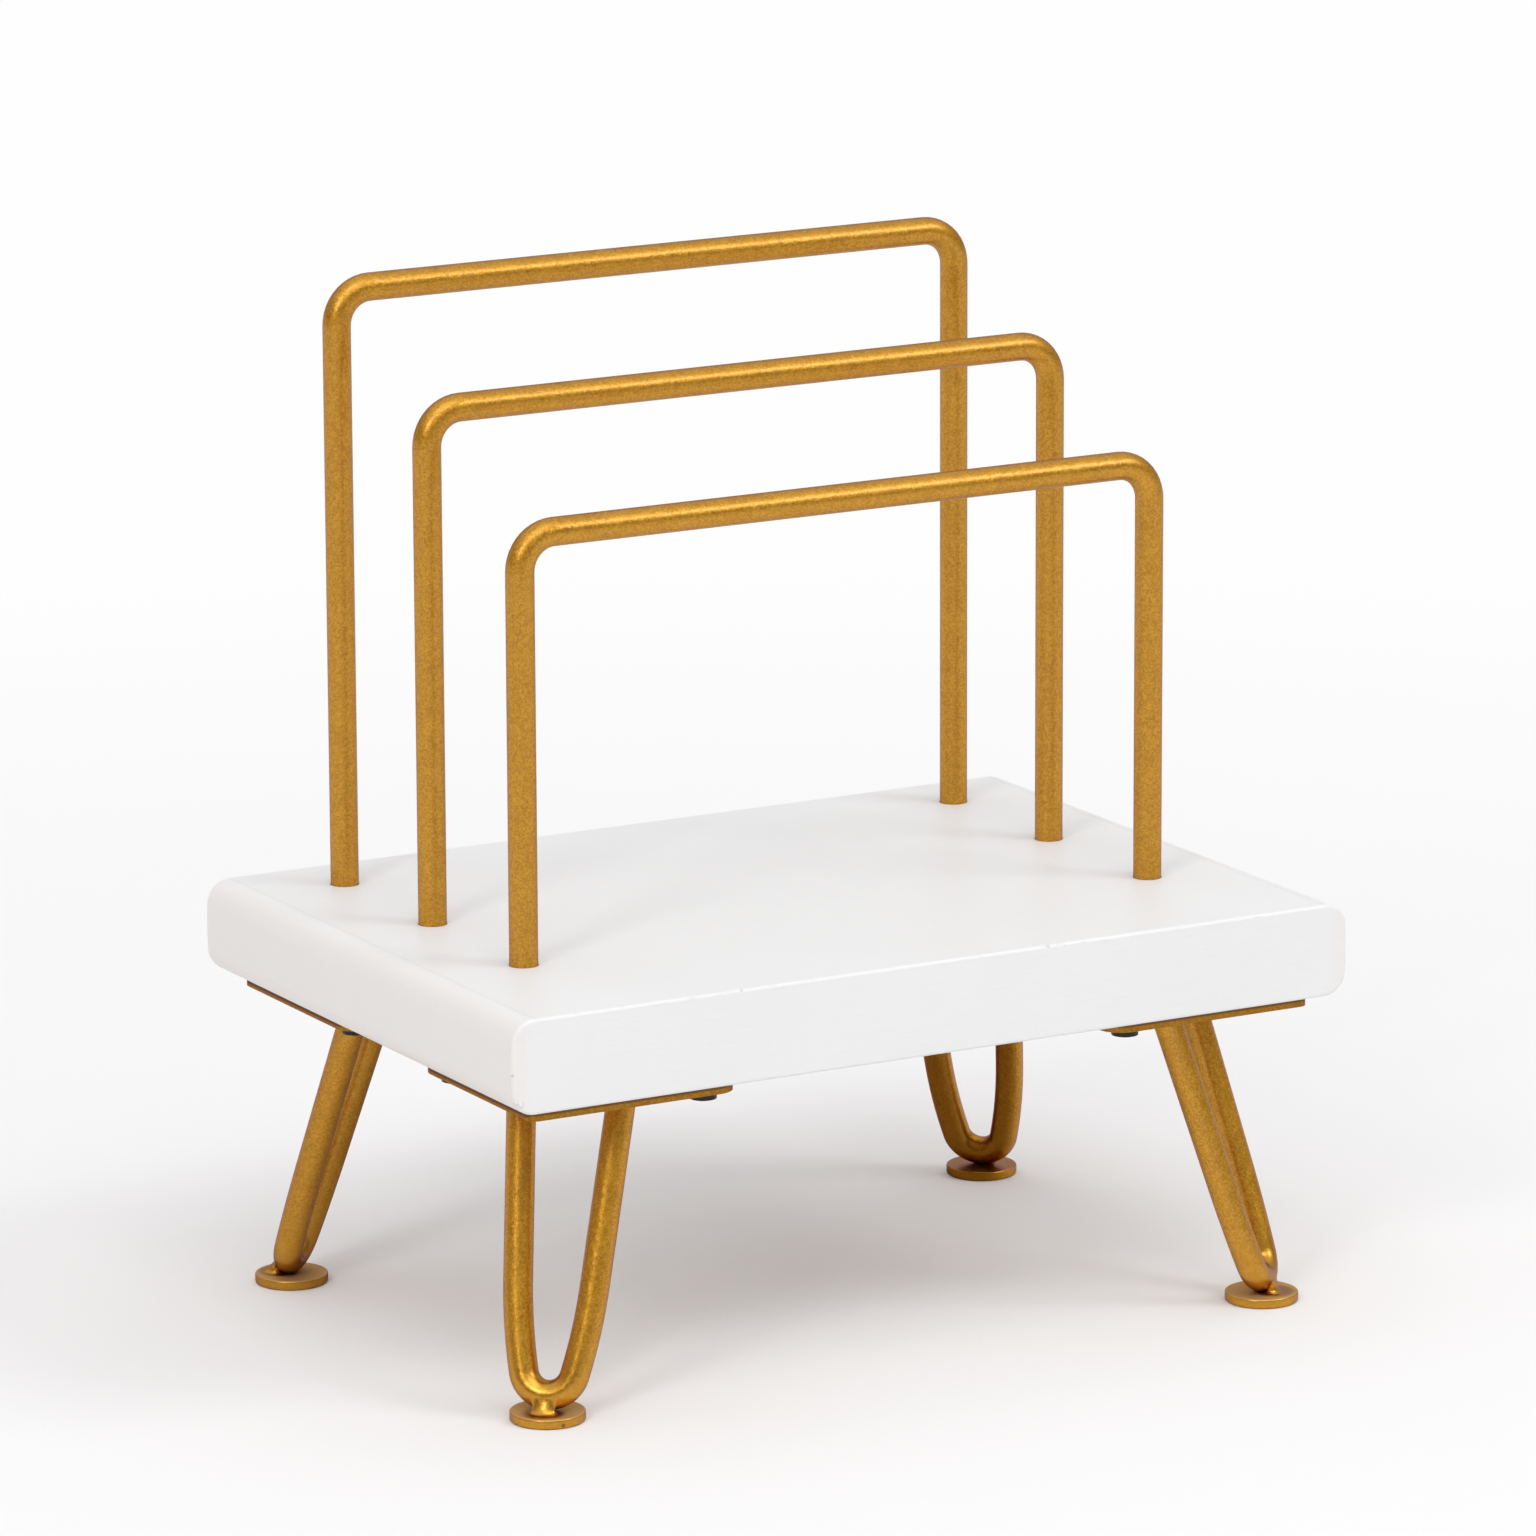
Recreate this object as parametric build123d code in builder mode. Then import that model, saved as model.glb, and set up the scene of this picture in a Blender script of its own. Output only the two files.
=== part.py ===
# Letter rack: a painted board on four hairpin legs, with three steel loops standing in it.
# Millimetres, +Z up, +X right and +Y back, with the origin on the floor under the board's centre.
import os
from math import cos, radians, sin, sqrt, tan

from build123d import *

os.makedirs("parts", exist_ok=True)

# Board
board_length = 175.4
board_depth = 122.5
board_thickness = 17.5
board_underside_height = 59.8
board_end_radius = 4.6
board_end_crown = 0.4
board_edge_ease = 0.6

# Loops, each one taller than the one in front of it
loop_rod_diameter = 5.3
loop_spread = 132.4
loop_bend_radius = 6.8
front_loop_height = 79.2
loop_height_step = 16.8
front_loop_setback = 35.7
loop_pitch = 35.7
loop_socket_depth = 11.0
loop_socket_clearance = 0.1
loop_end_chamfer = 0.5

# Corner plates that carry the legs
plate_thickness = 2.4
plate_arm = 43.0
plate_corner_radius = 2.0
plate_tip_radius = 4.5
plate_end_inset = 5.7
plate_face_inset = 3.8

# Hairpin legs
leg_rod_diameter = 5.4
leg_weld_inset = 18.1
leg_splay = 12.0
hairpin_bend_radius = 4.9
hairpin_flank_radius = 104.0
hairpin_flank_angle = 13.0
hairpin_flare_angle = 3.7

# Foot discs and the weld that holds each one to its leg
foot_diameter = 13.8
foot_thickness = 1.8
foot_edge_ease = 0.35
weld_height = 4.4
weld_neck_radius = 1.8
weld_flare_radius = 1.4
weld_offset = 1.6

# Screws under the plate tips
screw_head_diameter = 5.0
screw_head_height = 1.9
screw_head_rim = 1.5
screw_shank_diameter = 2.8
screw_length = 11.0
screw_point_length = 2.4
screw_tip_radius = 0.25
screw_tip_inset = 5.5
screw_edge_inset = 4.5
screw_slot_length = 2.9
screw_slot_width = 0.7
screw_slot_depth = 0.9
screw_hole_clearance = 0.3
screw_pilot_clearance = 0.05
screw_pilot_extra = 0.5

# Places worked out from the sizes above
board_top = board_underside_height + board_thickness
plate_underside = board_underside_height - plate_thickness
plate_corner_x = board_length / 2 - plate_end_inset
plate_corner_y = board_depth / 2 - plate_face_inset
plate_leg = plate_arm + sqrt(2) * plate_tip_radius
foot_x = plate_corner_x - leg_weld_inset + leg_splay
foot_y = plate_corner_y - leg_weld_inset + leg_splay
loop_floor = board_top - loop_socket_depth
loop_half_spread = loop_spread / 2
screw_spots = [
    (plate_corner_x - plate_arm + screw_tip_inset, plate_corner_y - screw_edge_inset),
    (plate_corner_x - screw_edge_inset, plate_corner_y - plate_arm + screw_tip_inset),
]
loop_rows = {"front_loop": 0, "middle_loop": 1, "rear_loop": 2}
front_loop_y = front_loop_setback - board_depth / 2
loop_places = {name: front_loop_y + row * loop_pitch for name, row in loop_rows.items()}
corners = {"front_left": (-1, -1), "front_right": (1, -1), "rear_left": (-1, 1), "rear_right": (1, 1)}

# Board: a plank with crowned, rounded ends, drilled from above for the loops and from below for the screws
with BuildPart() as base_board:
    mid_thickness = board_underside_height + board_thickness / 2
    with BuildSketch(Plane(origin=(0, 0, mid_thickness), x_dir=(1, 0, 0), z_dir=(0, -1, 0))) as section:
        half_length = board_length / 2
        shoulder = half_length - board_end_crown
        half_thickness = board_thickness / 2
        with BuildLine():
            Line((-shoulder, half_thickness), (shoulder, half_thickness))
            ThreePointArc((shoulder, half_thickness), (half_length, 0), (shoulder, -half_thickness))
            Line((shoulder, -half_thickness), (-shoulder, -half_thickness))
            ThreePointArc((-shoulder, -half_thickness), (-half_length, 0), (-shoulder, half_thickness))
        make_face()
        fillet(section.vertices(), board_end_radius)
    extrude(amount=board_depth / 2, both=True)
    fillet(base_board.faces().filter_by(Axis.Y).edges(), board_edge_ease)
    with BuildSketch(Plane.XY.offset(loop_floor)):
        with Locations([(side * loop_half_spread, y) for y in loop_places.values() for side in (-1, 1)]):
            Circle(loop_rod_diameter / 2 + loop_socket_clearance)
    extrude(amount=loop_socket_depth, mode=Mode.SUBTRACT)
    with BuildSketch(Plane.XY.offset(board_underside_height)):
        with Locations([(sx * x, sy * y) for sx, sy in corners.values() for x, y in screw_spots]):
            Circle(screw_shank_diameter / 2 + screw_pilot_clearance)
    extrude(amount=screw_length - plate_thickness + screw_pilot_extra, mode=Mode.SUBTRACT)
base_board.part.label = "base_board"
export_step(base_board.part, "parts/base_board.step")

# Loops: one rod each, bent at both top corners, standing on the floors of its two sockets
for name, row in loop_rows.items():
    bar_height = board_top + front_loop_height + row * loop_height_step
    with BuildPart() as loop:
        with BuildLine(Plane.XZ.offset(-loop_places[name])) as rod:
            FilletPolyline(
                (-loop_half_spread, loop_floor),
                (-loop_half_spread, bar_height),
                (loop_half_spread, bar_height),
                (loop_half_spread, loop_floor),
                radius=loop_bend_radius,
            )
        with BuildSketch(Plane(origin=rod.line @ 0, z_dir=rod.line % 0)):
            Circle(loop_rod_diameter / 2)
        sweep(path=rod.line)
        chamfer(loop.faces().filter_by(Axis.Z).edges(), loop_end_chamfer)
    loop.part.label = name
    export_step(loop.part, f"parts/{name}.step")

# Corner plates: a triangle with its square corner outwards, every corner rounded and both tips drilled
for corner, (sx, sy) in corners.items():
    outwards = Axis((0, 0, 0), (sx, sy, 0))
    with BuildPart() as plate:
        with BuildSketch(Plane.XY.offset(plate_underside)) as blank:
            with BuildLine():
                Polyline(
                    (sx * plate_corner_x, sy * plate_corner_y),
                    (sx * (plate_corner_x - plate_leg), sy * plate_corner_y),
                    (sx * plate_corner_x, sy * (plate_corner_y - plate_leg)),
                    close=True,
                )
            make_face()
            fillet(blank.vertices().sort_by(outwards)[-1], plate_corner_radius)
            fillet(blank.vertices().sort_by(outwards)[:2], plate_tip_radius)
            with Locations([(sx * x, sy * y) for x, y in screw_spots]):
                Circle(screw_shank_diameter / 2 + screw_hole_clearance, mode=Mode.SUBTRACT)
        extrude(amount=plate_thickness)
    plate.part.label = f"{corner}_plate"
    export_step(plate.part, f"parts/{corner}_plate.step")

# Hairpins: one rod bent to a narrow U that leans out over its foot, and cut flush under its plate.
# Each side of the U is a straight run, then a long easy arc, then half of the tight bend.
flank_turn = hairpin_flank_angle - hairpin_flare_angle
bend_turn = 180 - 2 * hairpin_flank_angle
flare_sin, flare_cos = sin(radians(hairpin_flare_angle)), cos(radians(hairpin_flare_angle))
flank_sin, flank_cos = sin(radians(hairpin_flank_angle)), cos(radians(hairpin_flank_angle))
flank_top_x = hairpin_bend_radius * flank_cos + hairpin_flank_radius * (flare_cos - flank_cos)
flank_top_y = hairpin_bend_radius * (1 - flank_sin) + hairpin_flank_radius * (flank_sin - flare_sin)
bend_height = foot_thickness + leg_rod_diameter / 2
leg_rise = plate_underside - bend_height
uncut_length = sqrt(leg_rise**2 + 2 * leg_splay**2) + leg_rod_diameter
uncut_top_x = flank_top_x + (uncut_length - flank_top_y) * tan(radians(hairpin_flare_angle))

hairpins = {}
for corner, (sx, sy) in corners.items():
    across = Vector(sx, -sy, 0)
    leaning = Vector(-sx * leg_splay, -sy * leg_splay, leg_rise)
    bend_bottom = (sx * foot_x, sy * foot_y, bend_height)
    with BuildPart() as hairpin:
        with BuildLine(Plane(origin=bend_bottom, x_dir=across, z_dir=across.cross(leaning))) as rod:
            run_down = Line((-uncut_top_x, uncut_length), (-flank_top_x, flank_top_y))
            flank_down = JernArc(run_down @ 1, run_down % 1, hairpin_flank_radius, flank_turn)
            bend = JernArc(flank_down @ 1, flank_down % 1, hairpin_bend_radius, bend_turn)
            flank_up = JernArc(bend @ 1, bend % 1, hairpin_flank_radius, flank_turn)
            Line(flank_up @ 1, (uncut_top_x, uncut_length))
        with BuildSketch(Plane(origin=rod.line @ 0, z_dir=rod.line % 0)):
            Circle(leg_rod_diameter / 2)
        sweep(path=rod.line)
        split(bisect_by=Plane.XY.offset(plate_underside), keep=Keep.BOTTOM)
    hairpins[corner] = hairpin.part
    hairpin.part.label = f"{corner}_hairpin"
    export_step(hairpin.part, f"parts/{corner}_hairpin.step")

# Feet: a disc with eased edges, and the flared weld that climbs the outer side of the bend
for corner, (sx, sy) in corners.items():
    weld_x = sx * (foot_x + weld_offset / sqrt(2))
    weld_y = sy * (foot_y + weld_offset / sqrt(2))
    with BuildPart() as foot:
        with BuildSketch():
            with Locations((sx * foot_x, sy * foot_y)):
                Circle(foot_diameter / 2)
        extrude(amount=foot_thickness)
        fillet(foot.edges().filter_by(GeomType.CIRCLE), foot_edge_ease)
        with BuildSketch(Plane(origin=(weld_x, weld_y, foot_thickness), x_dir=(1, 0, 0), z_dir=(0, -1, 0))):
            with BuildLine():
                base = Line((0, 0), (weld_neck_radius + weld_flare_radius, 0))
                flare = TangentArc(base @ 1, (weld_neck_radius, weld_flare_radius), tangent=(-1, 0))
                neck = Line(flare @ 1, (weld_neck_radius, weld_height - weld_neck_radius))
                dome = TangentArc(neck @ 1, (0, weld_height), tangent=(0, 1))
                Line(dome @ 1, base @ 0)
            make_face()
        revolve(axis=Axis((weld_x, weld_y, 0), (0, 0, 1)))
        add(hairpins[corner], mode=Mode.SUBTRACT)
    foot.part.label = f"{corner}_foot"
    export_step(foot.part, f"parts/{corner}_foot.step")

# Screws: a domed head with a cross recess, drawn once with its seat at zero and set under each plate's tips
with BuildPart() as screw:
    head_radius = screw_head_diameter / 2
    shank_radius = screw_shank_diameter / 2
    with BuildSketch(Plane.XZ):
        with BuildLine():
            dome = TangentArc((0, -screw_head_height), (head_radius, -screw_head_rim), tangent=(1, 0))
            Polyline(
                dome @ 1,
                (head_radius, 0),
                (shank_radius, 0),
                (shank_radius, screw_length - screw_point_length),
                (screw_tip_radius, screw_length),
                (0, screw_length),
                dome @ 0,
            )
        make_face()
    revolve(axis=Axis.Z)
    with BuildSketch(Plane.XY.offset(-screw_head_height)):
        Rectangle(screw_slot_length, screw_slot_width)
        Rectangle(screw_slot_width, screw_slot_length)
    extrude(amount=screw_slot_depth, mode=Mode.SUBTRACT)

for corner, (sx, sy) in corners.items():
    with BuildPart() as screws:
        with Locations([(sx * x, sy * y, plate_underside) for x, y in screw_spots]):
            add(screw.part)
    screws.part.label = f"{corner}_screws"
    export_step(screws.part, f"parts/{corner}_screws.step")
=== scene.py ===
import math

import bmesh
import bpy
from mathutils import Matrix, Vector


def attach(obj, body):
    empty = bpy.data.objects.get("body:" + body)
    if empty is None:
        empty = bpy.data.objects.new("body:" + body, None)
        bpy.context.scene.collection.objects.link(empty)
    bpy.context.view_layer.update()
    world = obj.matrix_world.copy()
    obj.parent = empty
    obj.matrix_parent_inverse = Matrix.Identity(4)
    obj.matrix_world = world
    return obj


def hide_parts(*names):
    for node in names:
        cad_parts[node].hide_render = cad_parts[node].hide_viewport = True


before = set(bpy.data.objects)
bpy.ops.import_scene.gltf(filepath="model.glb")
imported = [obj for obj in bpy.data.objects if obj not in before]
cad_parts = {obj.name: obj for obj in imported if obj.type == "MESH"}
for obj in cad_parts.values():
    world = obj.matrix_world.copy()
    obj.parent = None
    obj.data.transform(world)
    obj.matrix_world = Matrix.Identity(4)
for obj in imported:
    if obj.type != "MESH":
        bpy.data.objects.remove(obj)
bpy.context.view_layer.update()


# Base board: one plank of close-grained wood, both ends rounded over and drilled for the loops. White satin
# paint lies over it, thin enough to show the grain. Both rounded ends carry painted warm reflected light. A
# router line marks where each rounded end starts, with painted shade in its crease, and the edges have a
# few knocks.
millimetre = 0.001  # sizes and places on the pieces are in millimetres
board_top, board_half_depth = 77.3, 61.25
rounded_end_start, end_light_fade = 82.8, 4.0
line_side_start, line_side_full = 0.3, 0.05
line_down_start, line_down_full = 0.3, 0.1
edge_in_start, edge_in_full = 1.0, 0.3
edge_down_start, edge_down_full = 1.2, 0.5
board_knocks = [
    ((-87.5, -61.1, 67.6), 0.30),
    ((-86.2, -61.2, 76.2), 0.28),
    ((-41.0, -61.1, 77.1), 0.45),
    ((23.0, -61.1, 77.1), 0.5),
    ((87.0, 38.0, 62.0), 0.7),
    ((52.0, 61.1, 77.1), 0.6),
]
board_sags = [
    ((-86.9, -61.2, 62.6), 0.7),
    ((-85.9, -61.2, 62.2), 0.8),
    ((85.4, 61.2, 61.4), 0.9),
]
fresh_white, shaded_white = (0.872, 0.868, 0.869, 1.0), (0.838, 0.834, 0.835, 1.0)
# The worn white also paints shade into the router line's crease; the end tint is painted warm reflected
# light.
worn_and_shade_white, end_warm_light_tint = (0.62, 0.61, 0.59, 1.0), (1.0, 0.972, 0.945, 1.0)
figure_stretch, pore_stretch, streak_stretch = (0.05, 1.1, 1.1), (0.2, 3.0, 3.0), (0.12, 2.4, 2.4)
satin_peel_stretch, cloud_stretch, speck_stretch = (1.6, 1.6, 1.6), (0.03, 0.03, 0.03), (0.5, 2.0, 2.0)
pore_share, streak_share = (0.60, 0.74), (0.45, 0.70)
cloud_share, speck_share = (0.35, 0.65), (0.64, 0.72)
figure_height, satin_peel_height, sag_height = 0.018, 0.006, 0.2
pore_depth, line_depth, knock_depth = 0.02, 0.04, 0.12
# The router line's share of the worn colour is painted shade in its crease.
speck_wear, line_painted_shade, pore_wear = 0.4, 0.32, 0.08
cloud_shade, streak_shade = 0.2, 0.25
satin_roughness, satin_peel_roughness, satin_ior = 0.36, 0.12, 1.46


class Tone:
    """A value inside a material. Sums and products of tones add the Math nodes that work them out."""

    def __init__(self, tree, socket=None):
        self.tree = tree
        self.socket = socket

    def add(self, kind, settings=None, sockets=None, out=0):
        """Adds a node, sets it, fills or links its sockets, and gives one of its outputs."""
        node = self.tree.nodes.new("ShaderNode" + kind)
        for name, value in (settings or {}).items():
            setattr(node, name, value)
        for name, value in (sockets or {}).items():
            if isinstance(value, Tone):
                self.tree.links.new(value.socket, node.inputs[name])
            else:
                node.inputs[name].default_value = value
        return Tone(self.tree, node.outputs[out] if node.outputs else None)

    def maths(self, operation, first, second=0.0):
        return self.add("Math", {"operation": operation}, {0: first, 1: second})

    def __add__(self, other):
        return self.maths("ADD", self, other)

    def __sub__(self, other):
        return self.maths("SUBTRACT", self, other)

    def __rsub__(self, other):
        return self.maths("SUBTRACT", other, self)

    def __mul__(self, other):
        return self.maths("MULTIPLY", self, other)

    def __abs__(self):
        return self.maths("ABSOLUTE", self)

    __radd__ = __add__
    __rmul__ = __mul__

    def rise(self, low, high):
        """0 below low and 1 above high, easing between them. With low above high it falls instead."""
        ends = {"Value": self, "From Min": low, "From Max": high}
        return self.add("MapRange", {"interpolation_type": "SMOOTHSTEP"}, ends)

    def vectors(self, operation, first, second=(0.0, 0.0, 0.0), out="Vector"):
        """Vector maths. The out of an operation that gives one number is Value."""
        return self.add("VectorMath", {"operation": operation}, {0: first, 1: second}, out)

    def scaled(self, vector, size):
        """A vector made size times as long."""
        return self.add("VectorMath", {"operation": "SCALE"}, {0: vector, "Scale": size})

    def along(self, axis, vector):
        """How far a vector goes along one axis."""
        return self.add("SeparateXYZ", {}, {0: vector}, axis)


def start_finish(name):
    """A bare material, a tone to build it from, and the place on the piece in millimetres."""
    material = bpy.data.materials.new(name)
    material.use_nodes = True
    material.node_tree.nodes.clear()
    tone = Tone(material.node_tree)
    place = tone.add("TexCoord", out="Object")
    return material, tone, tone.scaled(place, 1.0 / millimetre)


def grain(tone, place, stretch, detail=2.0, roughness=0.5):
    """Soft noise whose lumps are one over stretch millimetres along each axis."""
    spot = tone.vectors("MULTIPLY", place, stretch)
    sockets = {"Vector": spot, "Scale": 1.0, "Detail": detail, "Roughness": roughness}
    return tone.add("TexNoise", {}, sockets, "Fac")


def blend(tone, amount, first, second, how="MIX"):
    """One colour turning into another, or how it is laid over it, at the node's colour sockets."""
    first_colour, second_colour, mixed_colour = 6, 7, 2
    settings = {"data_type": "RGBA", "blend_type": how}
    return tone.add("Mix", settings, {0: amount, first_colour: first, second_colour: second}, mixed_colour)


def near(tone, place, spot, size, core=0.3):
    """1 at a spot on the piece, falling to 0 at size millimetres from it."""
    return tone.vectors("DISTANCE", place, spot, "Value").rise(size, size * core)


def relief(tone, height, extra=None):
    """The normal of a surface that stands up by height millimetres."""
    sockets = {"Strength": 1.0, "Distance": millimetre, "Height": height}
    return tone.add("Bump", {}, sockets | (extra or {}), "Normal")


def end_finish(tone, sockets):
    """Ends a material in one shader with these sockets."""
    tone.add("OutputMaterial", {}, {"Surface": tone.add("BsdfPrincipled", {}, sockets)})


def paint_pieces(names, material):
    """Puts a material on the CAD pieces of these names."""
    for name in names:
        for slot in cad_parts[name].material_slots:
            slot.material = material


white_satin, tone, place = start_finish("white_satin_paint")
x, y, z = (tone.along(axis, place) for axis in "XYZ")
figure = grain(tone, place, figure_stretch, detail=3.0, roughness=0.55)
pores = grain(tone, place, pore_stretch).rise(*pore_share)
streaks = grain(tone, place, streak_stretch).rise(*streak_share)
cloud = grain(tone, place, cloud_stretch).rise(*cloud_share)
specks = grain(tone, place, speck_stretch, detail=3.0).rise(*speck_share)
peel = grain(tone, place, satin_peel_stretch)
router_line = abs(abs(x) - rounded_end_start).rise(line_side_start, line_side_full)
router_line = router_line * z.rise(board_top - line_down_start, board_top - line_down_full)
long_edge = abs(y).rise(board_half_depth - edge_in_start, board_half_depth - edge_in_full)
long_edge = long_edge * z.rise(board_top - edge_down_start, board_top - edge_down_full)
knocks = long_edge * specks * speck_wear
for spot, size in board_knocks:
    knocks = knocks + near(tone, place, spot, size)
height = figure * figure_height - pores * pore_depth + peel * satin_peel_height
height = height - router_line * line_depth - knocks * knock_depth
for spot, size in board_sags:
    height = height + near(tone, place, spot, size) * sag_height
# Knocks and pores are real wear; along the router line the worn colour is painted shade in the crease.
worn_and_crease_shade = (knocks + router_line * line_painted_shade + pores * pore_wear).rise(0.0, 1.0)
coat = blend(tone, worn_and_crease_shade, fresh_white, worn_and_shade_white)
coat = blend(tone, cloud * cloud_shade + streaks * streak_shade, coat, shaded_white)
# Painted warm reflected light on both rounded ends of the board.
end_warm_light = abs(x).rise(rounded_end_start, rounded_end_start + end_light_fade)
end_finish(
    tone,
    {
        "Base Color": blend(tone, end_warm_light, coat, end_warm_light_tint, "MULTIPLY"),
        "Roughness": satin_roughness + peel * satin_peel_roughness,
        "IOR": satin_ior,
        "Normal": relief(tone, height),
    },
)
paint_pieces(["base_board"], white_satin)


# Loops: three steel rods of one thickness, each bent at two corners and pushed into blind holes in the
# board. They are sprayed with gold metallic paint, whose fine flakes lie at slightly different angles under
# the clear binder, and it dries with a slight orange peel.
gold_deep, gold_bright = (0.465, 0.202, 0.007, 1.0), (0.705, 0.358, 0.027, 1.0)
gold_rim = (0.25, 0.14, 0.04, 1.0)
gold_lightness, gold_roughness = 0.45, 0.38
flakes_per_millimetre, flake_middle = 3.3, 0.5
flake_sparkle, flake_tilt, flake_roughness = 0.9, 0.12, 0.05
mottle_stretch, mottle_share = (0.25, 0.25, 0.25), (0.3, 0.7)
mottle_light, mottle_roughness = 0.15, 0.06
gold_peel_stretch, gold_peel_height = (0.9, 0.9, 0.9), 0.02
binder_gloss, binder_roughness = 0.65, 0.24
wet_sparkle_loss, wet_tilt_loss = 0.5, 0.08
wet_peel_gain, wet_roughness_loss = 0.03, 0.12
darkening_tint, darkening_gloss_loss = (0.42, 0.34, 0.25, 1.0), 0.55
bare_and_shade_brown, bare_and_shade_cover = (0.11, 0.055, 0.012, 1.0), 0.8
dust_gold, dust_cover = (0.66, 0.43, 0.2, 1.0), 0.8
dust_roughness_gain, dust_metal_loss = 0.2, 0.4


def gold_paint(name, pooled=None, darkening=None, bare_and_seam_shade=None, dusty=None):
    """Gold metallic paint. Each mask is a place where it has pooled, is darker, is bare or is dusty. The
    darker mask paints shade on the rear legs, and the bare mask also paints a shadow along a plate's seam.
    """
    material, tone, place = start_finish(name)
    flake = tone.add("TexVoronoi", {}, {"Vector": place, "Scale": flakes_per_millimetre}, "Color")
    flake_light = tone.along("X", flake)
    mottle = grain(tone, place, mottle_stretch, detail=1.0)
    sparkle = flake_sparkle
    tilt_size = flake_tilt
    lumps = gold_peel_height
    rough = gold_roughness + mottle * mottle_roughness + flake_light * flake_roughness
    gloss = binder_gloss
    metal = 1.0
    if pooled:
        wet = pooled(place, tone)
        sparkle = flake_sparkle - wet * wet_sparkle_loss
        tilt_size = flake_tilt - wet * wet_tilt_loss
        lumps = gold_peel_height + wet * wet_peel_gain
        rough = rough - wet * wet_roughness_loss
    light = gold_lightness + (flake_light - flake_middle) * sparkle
    light = light + mottle.rise(*mottle_share) * mottle_light
    colour = blend(tone, light, gold_deep, gold_bright)
    # This darkening is painted shade on the rear legs and their feet, and a darker upright edge on the
    # plates.
    if darkening:
        darkening_mask = darkening(place, tone)
        colour = blend(tone, darkening_mask, colour, darkening_tint, "MULTIPLY")
        gloss = binder_gloss - darkening_mask * darkening_gloss_loss
    if bare_and_seam_shade:
        # The bare colour is a real chip on a foot, and a painted shadow along a plate's seam.
        colour = blend(tone, bare_and_seam_shade(place, tone) * bare_and_shade_cover, colour, bare_and_shade_brown)
    if dusty:
        dust = dusty(place, tone)
        colour = blend(tone, dust * dust_cover, colour, dust_gold)
        rough = rough + dust * dust_roughness_gain
        metal = 1.0 - dust * dust_metal_loss
        gloss = (1.0 - dust) * gloss
    tilt = tone.scaled(tone.vectors("SUBTRACT", flake, (flake_middle,) * 3), tilt_size)
    facet = tone.vectors("ADD", tone.add("NewGeometry", out="Normal"), tilt)
    facet = tone.vectors("NORMALIZE", facet)
    peel = grain(tone, place, gold_peel_stretch)
    end_finish(
        tone,
        {
            "Base Color": colour,
            "Metallic": metal,
            "Specular Tint": gold_rim,
            "Roughness": rough,
            "Normal": relief(tone, peel * lumps, {"Normal": facet}),
            "Coat Weight": gloss,
            "Coat Roughness": binder_roughness,
        },
    )
    return material


paint_pieces(["front_loop", "middle_loop", "rear_loop"], gold_paint("gold_loop_paint"))


# Corner plates: thin steel triangles screwed flat under the board's corners, sprayed in gold with the legs.
# A shadow is painted along the seam against the board, under its overhang. The painted shadow starts
# lower on the edge under the board's rounded end, where it shows from below.
plate_end, plate_end_start, plate_end_full = 82.0, 0.6, 0.1
end_seam, face_seam, seam_fade = 57.8, 58.2, 0.3
plate_flat_slope, plate_edge_slope, plate_edge_darkening = 0.7, 0.3, 0.6


def plate_seam_shadow(place, tone):
    """The strip of a plate's edge next to the board, where a shadow is painted."""
    below_end = abs(tone.along("X", place)).rise(plate_end - plate_end_start, plate_end - plate_end_full)
    height = tone.along("Z", place) + below_end * (face_seam - end_seam)
    return height.rise(face_seam, face_seam + seam_fade)


def plate_edge(place, tone):
    """The upright edge of a plate, made darker and less glossy than its flat face."""
    upward = tone.along("Z", tone.add("NewGeometry", out="Normal"))
    return abs(upward).rise(plate_flat_slope, plate_edge_slope) * plate_edge_darkening


corners = {
    "front_left": (-1, -1),
    "front_right": (1, -1),
    "rear_left": (-1, 1),
    "rear_right": (1, 1),
}
plate_paint = gold_paint("gold_plate_paint", darkening=plate_edge, bare_and_seam_shade=plate_seam_shadow)
paint_pieces([f"{corner}_plate" for corner in corners], plate_paint)


# Hairpins: one steel rod a leg, bent to a narrow U, leaning out over its foot and welded under its plate.
# The gold paint pools and shines round the tight bend. The rear legs have painted shade, darker and less
# glossy on the side that faces the middle of the rack, the right one most, and the left one a little all
# round.
pool_top, pool_full = 17.0, 6.0
inner_start, inner_full = 0.05, -0.95
all_round_inside, all_round_least = 0.4, 0.18


def near_bend(place, tone):
    """The lowest part of a leg and all of its foot."""
    return tone.along("Z", place).rise(pool_top, pool_full)


def inner_side(place, tone):
    """The side of a leg that faces the middle of the rack."""
    outward = tone.vectors("NORMALIZE", tone.vectors("MULTIPLY", place, (1.0, 1.0, 0.0)))
    facing = tone.vectors("DOT_PRODUCT", tone.add("NewGeometry", out="Normal"), outward, "Value")
    return facing.rise(inner_start, inner_full)


def all_round(place, tone):
    """The whole of a leg, and its inner side more."""
    return inner_side(place, tone) * all_round_inside + all_round_least


# Painted shade on the rear legs: these masks darken their colour and gloss.
leg_painted_shade = {
    "front_left": None,
    "front_right": None,
    "rear_left": all_round,
    "rear_right": inner_side,
}
for corner, darkening_mask in leg_painted_shade.items():
    leg_paint = gold_paint(f"gold_{corner}_leg_paint", near_bend, darkening_mask)
    paint_pieces([f"{corner}_hairpin"], leg_paint)


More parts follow.
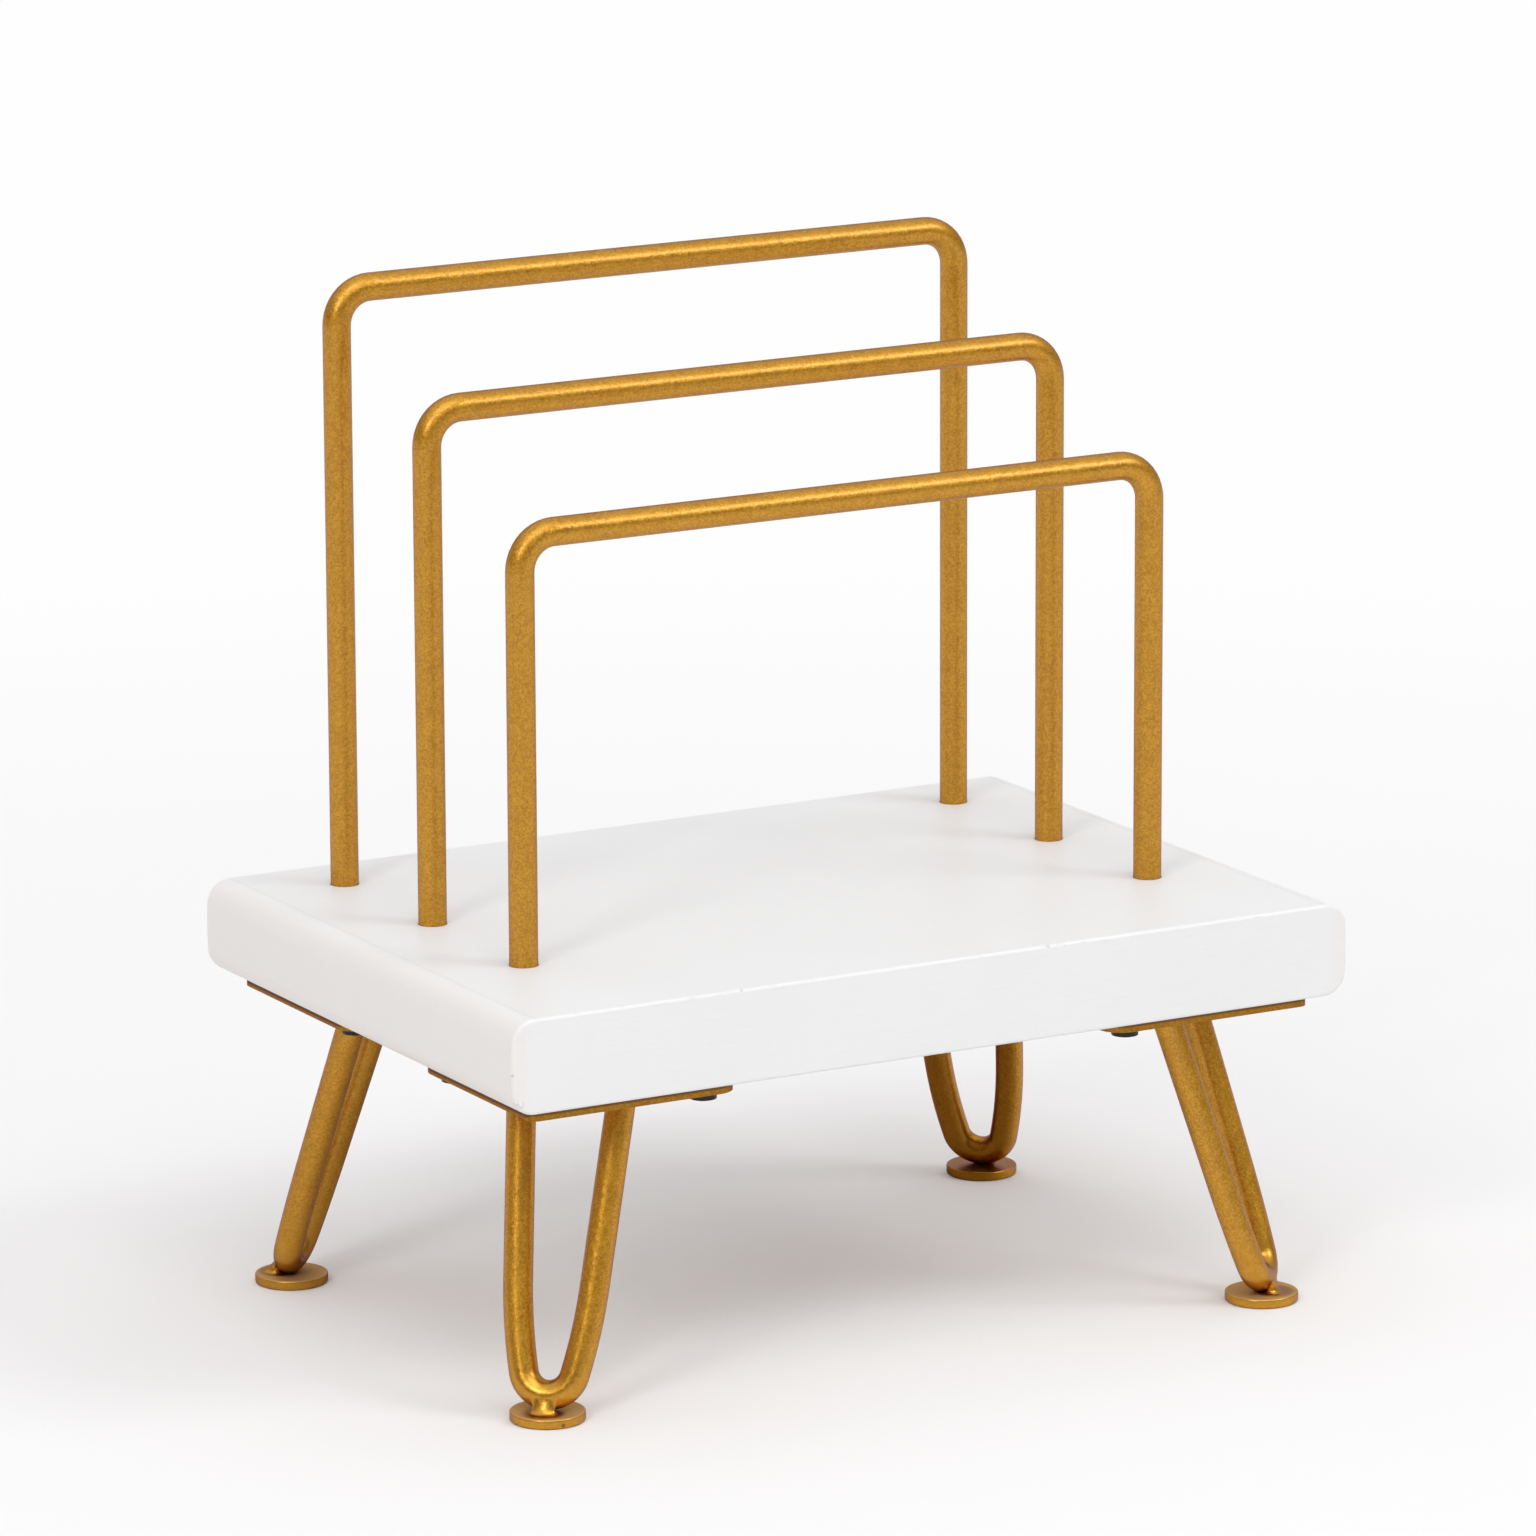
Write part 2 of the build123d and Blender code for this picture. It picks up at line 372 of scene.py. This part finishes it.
# Feet: a punched steel disc with eased edges under each bend, and the weld that holds it. The weld is one
# smooth bead that runs from the disc up the outer side of the rod, under thick and glossy gold paint. No
# two welds have quite the same outline, and dust dulls the tops of all discs but one.
foot_x, foot_y = 75.9, 51.35
foot_radius, foot_thickness, foot_ease = 6.9, 1.8, 0.35
rod_radius, bend_radius = 2.7, 4.9
leg_splay, leg_rise = 12.0, 52.9
bead_inner, bead_half_width, bead_sunk = 0.2, 3.1, 0.03
bead_reach = {"front_left": 4.7, "front_right": 4.0, "rear_left": 6.0, "rear_right": 4.7}
bead_swing, bead_low, bead_high = 0.55, math.radians(-5.0), math.radians(95.0)
bead_foot_pull, bead_rod_pull, bead_rod_share = 0.5, 0.8, 0.4
wide_ripple, wide_ripples, wide_shift = 0.05, 3.0, 1.7
fine_ripple, fine_ripples = 0.03, 5.0
round_steps, ease_steps = 72, 4
bead_steps, climb_steps = 56, 14
chip_spot, chip_size = (-76.4, -58.2, 0.65), 0.55
dust_free = "rear_right"
weld_offset, dust_start, dust_full = 1.7, 2.8, 4.6
top_start, top_skin, top_end = 0.2, 0.05, 0.3
lean = math.atan2(leg_splay * math.sqrt(2.0), leg_rise)
upright = Vector((0.0, 0.0, 1.0))


def disc_top(place, tone):
    """The flat top of the discs, away from their welds. All four lie at the same mirrored place."""
    height = tone.along("Z", place)
    flat = height.rise(foot_thickness - top_start, foot_thickness - top_skin)
    flat = flat * height.rise(foot_thickness + top_end, foot_thickness + top_skin)
    weld_spot = (foot_x + weld_offset, foot_y + weld_offset, foot_thickness)
    mirrored = tone.vectors("ABSOLUTE", place)
    from_weld = tone.vectors("DISTANCE", mirrored, weld_spot, "Value")
    return flat * from_weld.rise(dust_start, dust_full)


def disc_chip(place, tone):
    """A chip in the front left disc's rim."""
    return near(tone, place, chip_spot, chip_size)


def disc_rings(centre, out, across):
    """Rings of points over the disc's edge, from the underside to the top."""
    rim = []
    for step in range(ease_steps + 1):
        turn = math.radians(90.0 * step / ease_steps)
        rim.append((foot_radius - foot_ease * (1 - math.sin(turn)), foot_ease * (1 - math.cos(turn))))
    rim += [(radius, foot_thickness - height) for radius, height in reversed(rim)]
    rings = []
    for radius, height in rim:
        ring = []
        for step in range(round_steps):
            turn = 2.0 * math.pi * step / round_steps
            point = centre + out * radius * math.cos(turn) + across * radius * math.sin(turn)
            ring.append(point + upright * height)
        rings.append(ring)
    return rings


def on_bend(centre, out, across, swing, roll):
    """A point just under the rod's skin: swing round the bend from its bottom, and roll round the rod."""
    up_leg = upright * math.cos(lean) - out * math.sin(lean)
    off_leg = out * math.cos(lean) + upright * math.sin(lean)
    axis = centre + upright * (foot_thickness + rod_radius)
    axis = axis + across * bend_radius * math.sin(swing) + up_leg * bend_radius * (1.0 - math.cos(swing))
    down = across * math.sin(swing) - up_leg * math.cos(swing)
    return axis + (down * math.cos(roll) + off_leg * math.sin(roll)) * (rod_radius - bead_sunk)


def bead_rings(centre, out, across, reach, number):
    """Rings of points up the weld, from its outline on the disc to its outline on the rod."""
    half_depth = (reach - bead_inner) / 2.0
    middle = centre + out * (bead_inner + reach) / 2.0 + upright * (foot_thickness - bead_sunk)
    middle_roll, half_roll = (bead_low + bead_high) / 2.0, (bead_high - bead_low) / 2.0
    rings = [[] for _ in range(climb_steps + 1)]
    for step in range(bead_steps):
        turn = 2.0 * math.pi * step / bead_steps
        ripple = 1.0 + wide_ripple * math.sin(wide_ripples * turn + wide_shift * number)
        ripple += fine_ripple * math.sin(fine_ripples * turn + number)
        base = middle + across * bead_half_width * math.cos(turn) * ripple
        base += out * half_depth * math.sin(turn) * ripple
        swing, roll = bead_swing * math.cos(turn), half_roll * math.sin(turn)
        top = on_bend(centre, out, across, swing, middle_roll + roll)
        inner_swing, inner_roll = swing * bead_rod_share, middle_roll + roll * bead_rod_share
        inner = on_bend(centre, out, across, inner_swing, inner_roll)
        base_lever = base + (middle - base) * bead_foot_pull
        top_lever = top + (inner - top) * bead_rod_pull
        for climb, ring in enumerate(rings):
            up = climb / climb_steps
            lower = base * (1 - up) ** 3 + base_lever * 3 * up * (1 - up) ** 2
            upper = top_lever * 3 * up**2 * (1 - up) + top * up**3
            ring.append(lower + upper)
    return rings


def add_rings(mesh, rings):
    """Joins rings of points into a skin and closes the first and last ring with a flat face."""
    skin = [[mesh.verts.new(point * millimetre) for point in ring] for ring in rings]
    for lower, upper in zip(skin, skin[1:]):
        for step in range(len(lower)):
            after = (step + 1) % len(lower)
            mesh.faces.new((lower[step], lower[after], upper[after], upper[step]))
    mesh.faces.new(skin[0])
    mesh.faces.new(skin[-1])


for number, (corner, (side_x, side_y)) in enumerate(corners.items()):
    centre = Vector((side_x * foot_x, side_y * foot_y, 0.0))
    out = Vector((side_x, side_y, 0.0)).normalized()
    across = Vector((side_x, -side_y, 0.0)).normalized()
    mesh = bmesh.new()
    add_rings(mesh, disc_rings(centre, out, across))
    add_rings(mesh, bead_rings(centre, out, across, bead_reach[corner], number))
    bmesh.ops.recalc_face_normals(mesh, faces=mesh.faces)
    for face in mesh.faces:
        face.smooth = len(face.verts) == 4
    foot_name = f"{corner}_welded_foot"
    foot = bpy.data.objects.new(foot_name, bpy.data.meshes.new(foot_name))
    mesh.to_mesh(foot.data)
    mesh.free()
    dust = None if corner == dust_free else disc_top
    foot_paint_name = f"gold_{corner}_foot_paint"
    # Each rear foot takes its leg's painted shade.
    foot_paint = gold_paint(foot_paint_name, near_bend, leg_painted_shade[corner], disc_chip, dust)
    foot.data.materials.append(foot_paint)
    bpy.context.scene.collection.objects.link(foot)
    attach(foot, "root")
    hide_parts(f"{corner}_foot")


# Screws: short steel wood screws with domed heads and a cross recess, two through each plate into the
# board. Their thin black finish has paler speckles and a dull shine.
screw_black, screw_worn = (0.012, 0.011, 0.010, 1.0), (0.05, 0.045, 0.04, 1.0)
screw_metal, screw_roughness = 0.3, 0.36
speckle_stretch, speckle_share = (3.0, 3.0, 3.0), (0.55, 0.75)
speckle_cover, speckle_height, speckle_roughness = 0.5, 0.01, 0.16

black_screw, tone, place = start_finish("black_screw_paint")
speckle = grain(tone, place, speckle_stretch, detail=3.0)
end_finish(
    tone,
    {
        "Base Color": blend(tone, speckle.rise(*speckle_share) * speckle_cover, screw_black, screw_worn),
        "Metallic": screw_metal,
        "Roughness": screw_roughness + speckle * speckle_roughness,
        "Normal": relief(tone, speckle * speckle_height),
    },
)
paint_pieces([f"{corner}_screws" for corner in corners], black_screw)


# Floor: a wide sheet of matt white card that keeps the rack's soft shadow. Away from the rack it turns
# into a plain white background, for the camera and for anything shiny or clear.
floor_half, floor_drop = 6000.0, 0.05
shadow_reach, background_reach = 200.0, 700.0
floor_colour = (0.906, 0.889, 0.883, 1.0)
background_white, background_strength = (1.0, 1.0, 1.0, 1.0), 0.99
background_rays = ("Is Camera Ray", "Is Glossy Ray", "Is Transmission Ray")

pale_floor, tone, place = start_finish("pale_floor")
camera_ray, glossy_ray, through_ray = (tone.add("LightPath", out=ray) for ray in background_rays)
seen = (camera_ray + glossy_ray + through_ray).rise(0.0, 1.0)
away = tone.vectors("LENGTH", place, out="Value").rise(shadow_reach, background_reach)
lit = tone.add("BsdfDiffuse", {}, {"Color": floor_colour})
white = tone.add("Emission", {}, {"Color": background_white, "Strength": background_strength})
surface = tone.add("MixShader", {}, {0: seen * away, 1: lit, 2: white})
tone.add("OutputMaterial", {}, {"Surface": surface})

floor_mesh = bmesh.new()
bmesh.ops.create_grid(floor_mesh, x_segments=1, y_segments=1, size=floor_half * millimetre)
floor = bpy.data.objects.new("floor", bpy.data.meshes.new("floor"))
floor_mesh.to_mesh(floor.data)
floor_mesh.free()
floor.location.z = -floor_drop * millimetre
floor.data.materials.append(pale_floor)
bpy.context.scene.collection.objects.link(floor)


# Room: a pale studio, light overhead and behind the rack, where a white backdrop hangs, and darker on the
# camera's side. Low on the left stands a warm wall, whose colour falls on the board's end.
overhead_low, overhead_high = 0.25, 0.75
backdrop_way, backdrop_start, backdrop_full = (0.3, 0.95, 0.0), -0.3, 0.6
wall_way, wall_start, wall_full = (-1.0, 0.0, 0.0), 0.2, 0.9
wall_top, wall_low = 0.6, 0.3
room_light, overhead_light, backdrop_light = 0.265, 0.61, 0.34
room_colour, overhead_colour = (1.0, 0.955, 0.925, 1.0), (0.99, 1.01, 1.035, 1.0)
wall_colour = (0.97, 0.82, 0.72, 1.0)

room = bpy.data.worlds.new("pale_room")
bpy.context.scene.world = room
room.use_nodes = True
room.node_tree.nodes.clear()
tone = Tone(room.node_tree)
way = tone.add("TexCoord", out="Generated")
height = tone.along("Z", way)
overhead = height.rise(overhead_low, overhead_high)
backdrop = tone.vectors("DOT_PRODUCT", way, backdrop_way, "Value").rise(backdrop_start, backdrop_full)
wall = tone.vectors("DOT_PRODUCT", way, wall_way, "Value").rise(wall_start, wall_full)
wall = wall * height.rise(wall_top, wall_low)
strength = room_light + tone.maths("MAXIMUM", overhead * overhead_light, backdrop * backdrop_light)
colour = blend(tone, overhead, room_colour, overhead_colour)
colour = blend(tone, wall, colour, wall_colour)
background = tone.add("Background", {}, {"Color": colour, "Strength": strength})
tone.add("OutputWorld", {}, {"Surface": background})


# Lamps: three soft boxes of white cloth, all turned to the middle of the rack. One stands on the left of
# the camera, one a little higher on its right, and a large one hangs above it. Angles are in degrees and
# sizes in metres.
lamp_colour = (0.97, 1.0, 1.01)
rack_middle = Vector((0.0, 0.0, 0.1))


def way_back(turn, tilt):
    """The way from the rack to what stands turn degrees round it and tilt degrees above it."""
    turn, tilt = math.radians(turn), math.radians(tilt)
    return Vector((math.sin(turn) * math.cos(tilt), -math.cos(turn) * math.cos(tilt), math.sin(tilt)))


def soft_box(name, turn, tilt, distance, width, height, brightness):
    """A soft lamp. Its brightness is how bright it looks, whatever its size."""
    lamp = bpy.data.lights.new(name, "AREA")
    lamp.shape = "RECTANGLE"
    lamp.size = width
    lamp.size_y = height
    lamp.energy = brightness * math.pi * width * height
    lamp.color = lamp_colour
    box = bpy.data.objects.new(name, lamp)
    back = way_back(turn, tilt)
    box.location = rack_middle + back * distance
    box.rotation_euler = back.to_track_quat("Z", "Y").to_euler()
    bpy.context.scene.collection.objects.link(box)


soft_box("left_soft_box", turn=-57.0, tilt=32.0, distance=3.2, width=0.7, height=1.1, brightness=6.8)
soft_box("right_soft_box", turn=44.0, tilt=38.0, distance=3.2, width=1.25, height=0.85, brightness=5.8)
soft_box("front_soft_box", turn=-20.0, tilt=60.0, distance=3.6, width=2.4, height=2.1, brightness=1.73)


# Camera: a long lens from the front left, a little above the rack, turned as the photograph was taken. The
# lens and the sensor are in millimetres, the rest in degrees and metres.
camera_turn, camera_tilt, camera_roll = -29.411, 13.06, -0.235
camera_distance, camera_aim_right, camera_aim_up = 1.71584, -0.000832, 0.100917
sensor_width, focal_length = 36.0, 216.28

turn, roll = math.radians(camera_turn), math.radians(camera_roll)
back = way_back(camera_turn, camera_tilt)
right = Vector((math.cos(turn), math.sin(turn), 0.0))
above = back.cross(right)
picture_right = right * math.cos(roll) + above * math.sin(roll)
picture_up = above * math.cos(roll) - right * math.sin(roll)
eye = right * camera_aim_right + Vector((0.0, 0.0, camera_aim_up)) + back * camera_distance
lens = bpy.data.cameras.new("camera")
lens.sensor_fit = "HORIZONTAL"
lens.sensor_width = sensor_width
lens.lens = focal_length
camera = bpy.data.objects.new("camera", lens)
picture_axes = Matrix((picture_right, picture_up, back)).transposed()
camera.matrix_world = Matrix.Translation(eye) @ picture_axes.to_4x4()
bpy.context.scene.collection.objects.link(camera)
bpy.context.scene.camera = camera
bpy.context.scene.view_settings.view_transform = "Standard"
